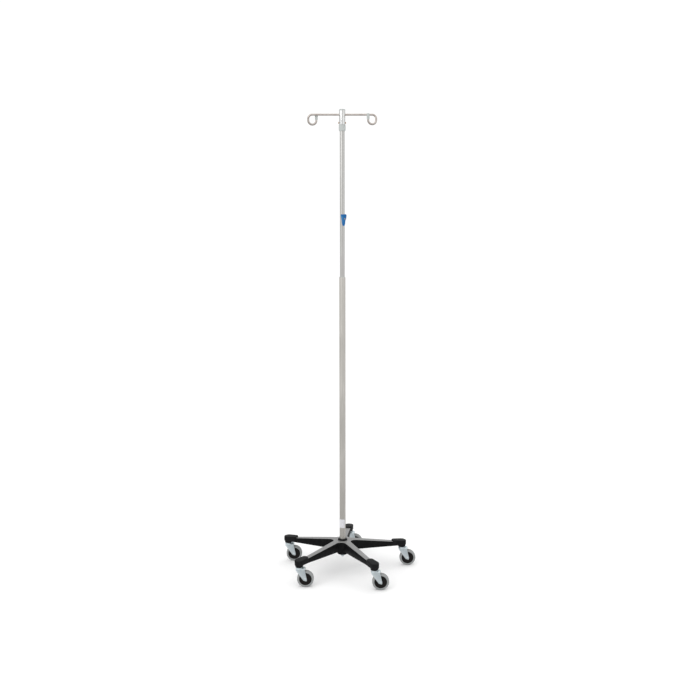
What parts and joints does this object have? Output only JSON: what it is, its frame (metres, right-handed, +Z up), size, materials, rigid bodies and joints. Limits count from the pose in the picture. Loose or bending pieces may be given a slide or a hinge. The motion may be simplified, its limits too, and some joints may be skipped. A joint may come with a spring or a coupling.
{
  "type": "iv pole",
  "caption": "Telescoping IV pole with a hook bar, a thumb-lever height lock and a star base on swivel casters.",
  "frame": {"origin": "point on the floor under the pole's axis", "axes": "+Z up along the pole, X along the hook bar with the thumb lever on +X, -Y towards the viewer"},
  "size_m": [0.6348, 0.5824, 2.1369],
  "materials": {
    "black_paint": "satin black powder coat",
    "satin_metal": "satin grey metal",
    "black_plastic": "matt moulded",
    "steel_tube": "brushed stainless tube and rod",
    "polished_steel": "polished",
    "zinc": "bright zinc plate",
    "brass": "dull brass",
    "grey_plastic": "pale grey moulded",
    "grey_rubber": "non-marking grey tread",
    "blue_plastic": "blue moulded",
    "label_white": "blank sticker"
  },
  "bodies": {
    "base": {"base_casting": "black_paint", "base_star_inlay": "satin_metal", "hub_bushing": "black_plastic", "outer_tube": "steel_tube", "guide_bush": "grey_plastic", "label_sticker": "label_white", "tube_foot_plug": "zinc", "base_washer": "zinc", "base_cap_nut": "zinc", "leg_end_cap_right": "black_plastic", "leg_end_cap_back": "black_plastic", "leg_end_cap_left": "black_plastic", "leg_end_cap_front_left": "black_plastic", "leg_end_cap_front_right": "black_plastic", "caster_stem_right": "zinc", "caster_stem_back": "zinc", "caster_stem_left": "zinc", "caster_stem_front_left": "zinc", "caster_stem_front_right": "zinc"},
    "inner_pole": {"inner_tube": "steel_tube", "pole_collar": "grey_plastic", "head_tube": "polished_steel", "head_cap": "grey_plastic", "head_cross_pin": "brass", "hook_rod": "steel_tube", "hook_tip_left": "grey_plastic", "hook_tip_right": "grey_plastic", "lever_pivot_pin": "zinc", "lever_bracket": "zinc", "lock_plug": "zinc", "lock_sleeve": "grey_plastic", "lock_spring": "steel_tube", "pull_rod": "zinc", "lock_cone": "zinc"},
    "thumb_lever": {"release_lever": "blue_plastic"},
    "caster_right": {"caster_fork_right": "zinc", "caster_axle_right": "zinc"},
    "wheel_right": {"wheel_hub_right": "black_plastic", "tyre_right": "grey_rubber"},
    "caster_back": {"caster_fork_back": "zinc", "caster_axle_back": "zinc"},
    "wheel_back": {"wheel_hub_back": "black_plastic", "tyre_back": "grey_rubber"},
    "caster_left": {"caster_fork_left": "zinc", "caster_axle_left": "zinc"},
    "wheel_left": {"wheel_hub_left": "black_plastic", "tyre_left": "grey_rubber"},
    "caster_front_left": {"caster_fork_front_left": "zinc", "caster_axle_front_left": "zinc"},
    "wheel_front_left": {"wheel_hub_front_left": "black_plastic", "tyre_front_left": "grey_rubber"},
    "caster_front_right": {"caster_fork_front_right": "zinc", "caster_axle_front_right": "zinc"},
    "wheel_front_right": {"wheel_hub_front_right": "black_plastic", "tyre_front_right": "grey_rubber"}
  },
  "joints": [
    {"name": "pole_slide", "type": "slide", "parent": "base", "child": "inner_pole", "axis": [0, 0, 1], "range_m": [-0.2, 0.25]},
    {"name": "lever_press", "type": "hinge", "parent": "inner_pole", "child": "thumb_lever", "pos_m": [0.0118, 0, 1.6515], "axis": [0, -1, 0], "range_deg": [0, 11], "stiffness_Nm_per_rad": 0.6, "springref_deg": -5.73},
    {"name": "swivel_right", "type": "hinge", "parent": "base", "child": "caster_right", "pos_m": [0.28428, 0.05732, 0.0915], "axis": [0, 0, 1], "continuous": true},
    {"name": "swivel_back", "type": "hinge", "parent": "base", "child": "caster_back", "pos_m": [0.03333, 0.28808, 0.0915], "axis": [0, 0, 1], "continuous": true},
    {"name": "swivel_left", "type": "hinge", "parent": "base", "child": "caster_left", "pos_m": [-0.26368, 0.12072, 0.0915], "axis": [0, 0, 1], "continuous": true},
    {"name": "swivel_front_left", "type": "hinge", "parent": "base", "child": "caster_front_left", "pos_m": [-0.19629, -0.21347, 0.0915], "axis": [0, 0, 1], "continuous": true},
    {"name": "swivel_front_right", "type": "hinge", "parent": "base", "child": "caster_front_right", "pos_m": [0.14236, -0.25265, 0.0915], "axis": [0, 0, 1], "continuous": true},
    {"name": "wheel_spin_right", "type": "hinge", "parent": "caster_right", "child": "wheel_right", "pos_m": [0.31228, 0.05732, 0.038], "axis": [0, 1, 0], "continuous": true},
    {"name": "wheel_spin_back", "type": "hinge", "parent": "caster_back", "child": "wheel_back", "pos_m": [0.06133, 0.28808, 0.038], "axis": [0, 1, 0], "continuous": true},
    {"name": "wheel_spin_left", "type": "hinge", "parent": "caster_left", "child": "wheel_left", "pos_m": [-0.23568, 0.12072, 0.038], "axis": [0, 1, 0], "continuous": true},
    {"name": "wheel_spin_front_left", "type": "hinge", "parent": "caster_front_left", "child": "wheel_front_left", "pos_m": [-0.16829, -0.21347, 0.038], "axis": [0, 1, 0], "continuous": true},
    {"name": "wheel_spin_front_right", "type": "hinge", "parent": "caster_front_right", "child": "wheel_front_right", "pos_m": [0.17036, -0.25265, 0.038], "axis": [0, 1, 0], "continuous": true}
  ]
}
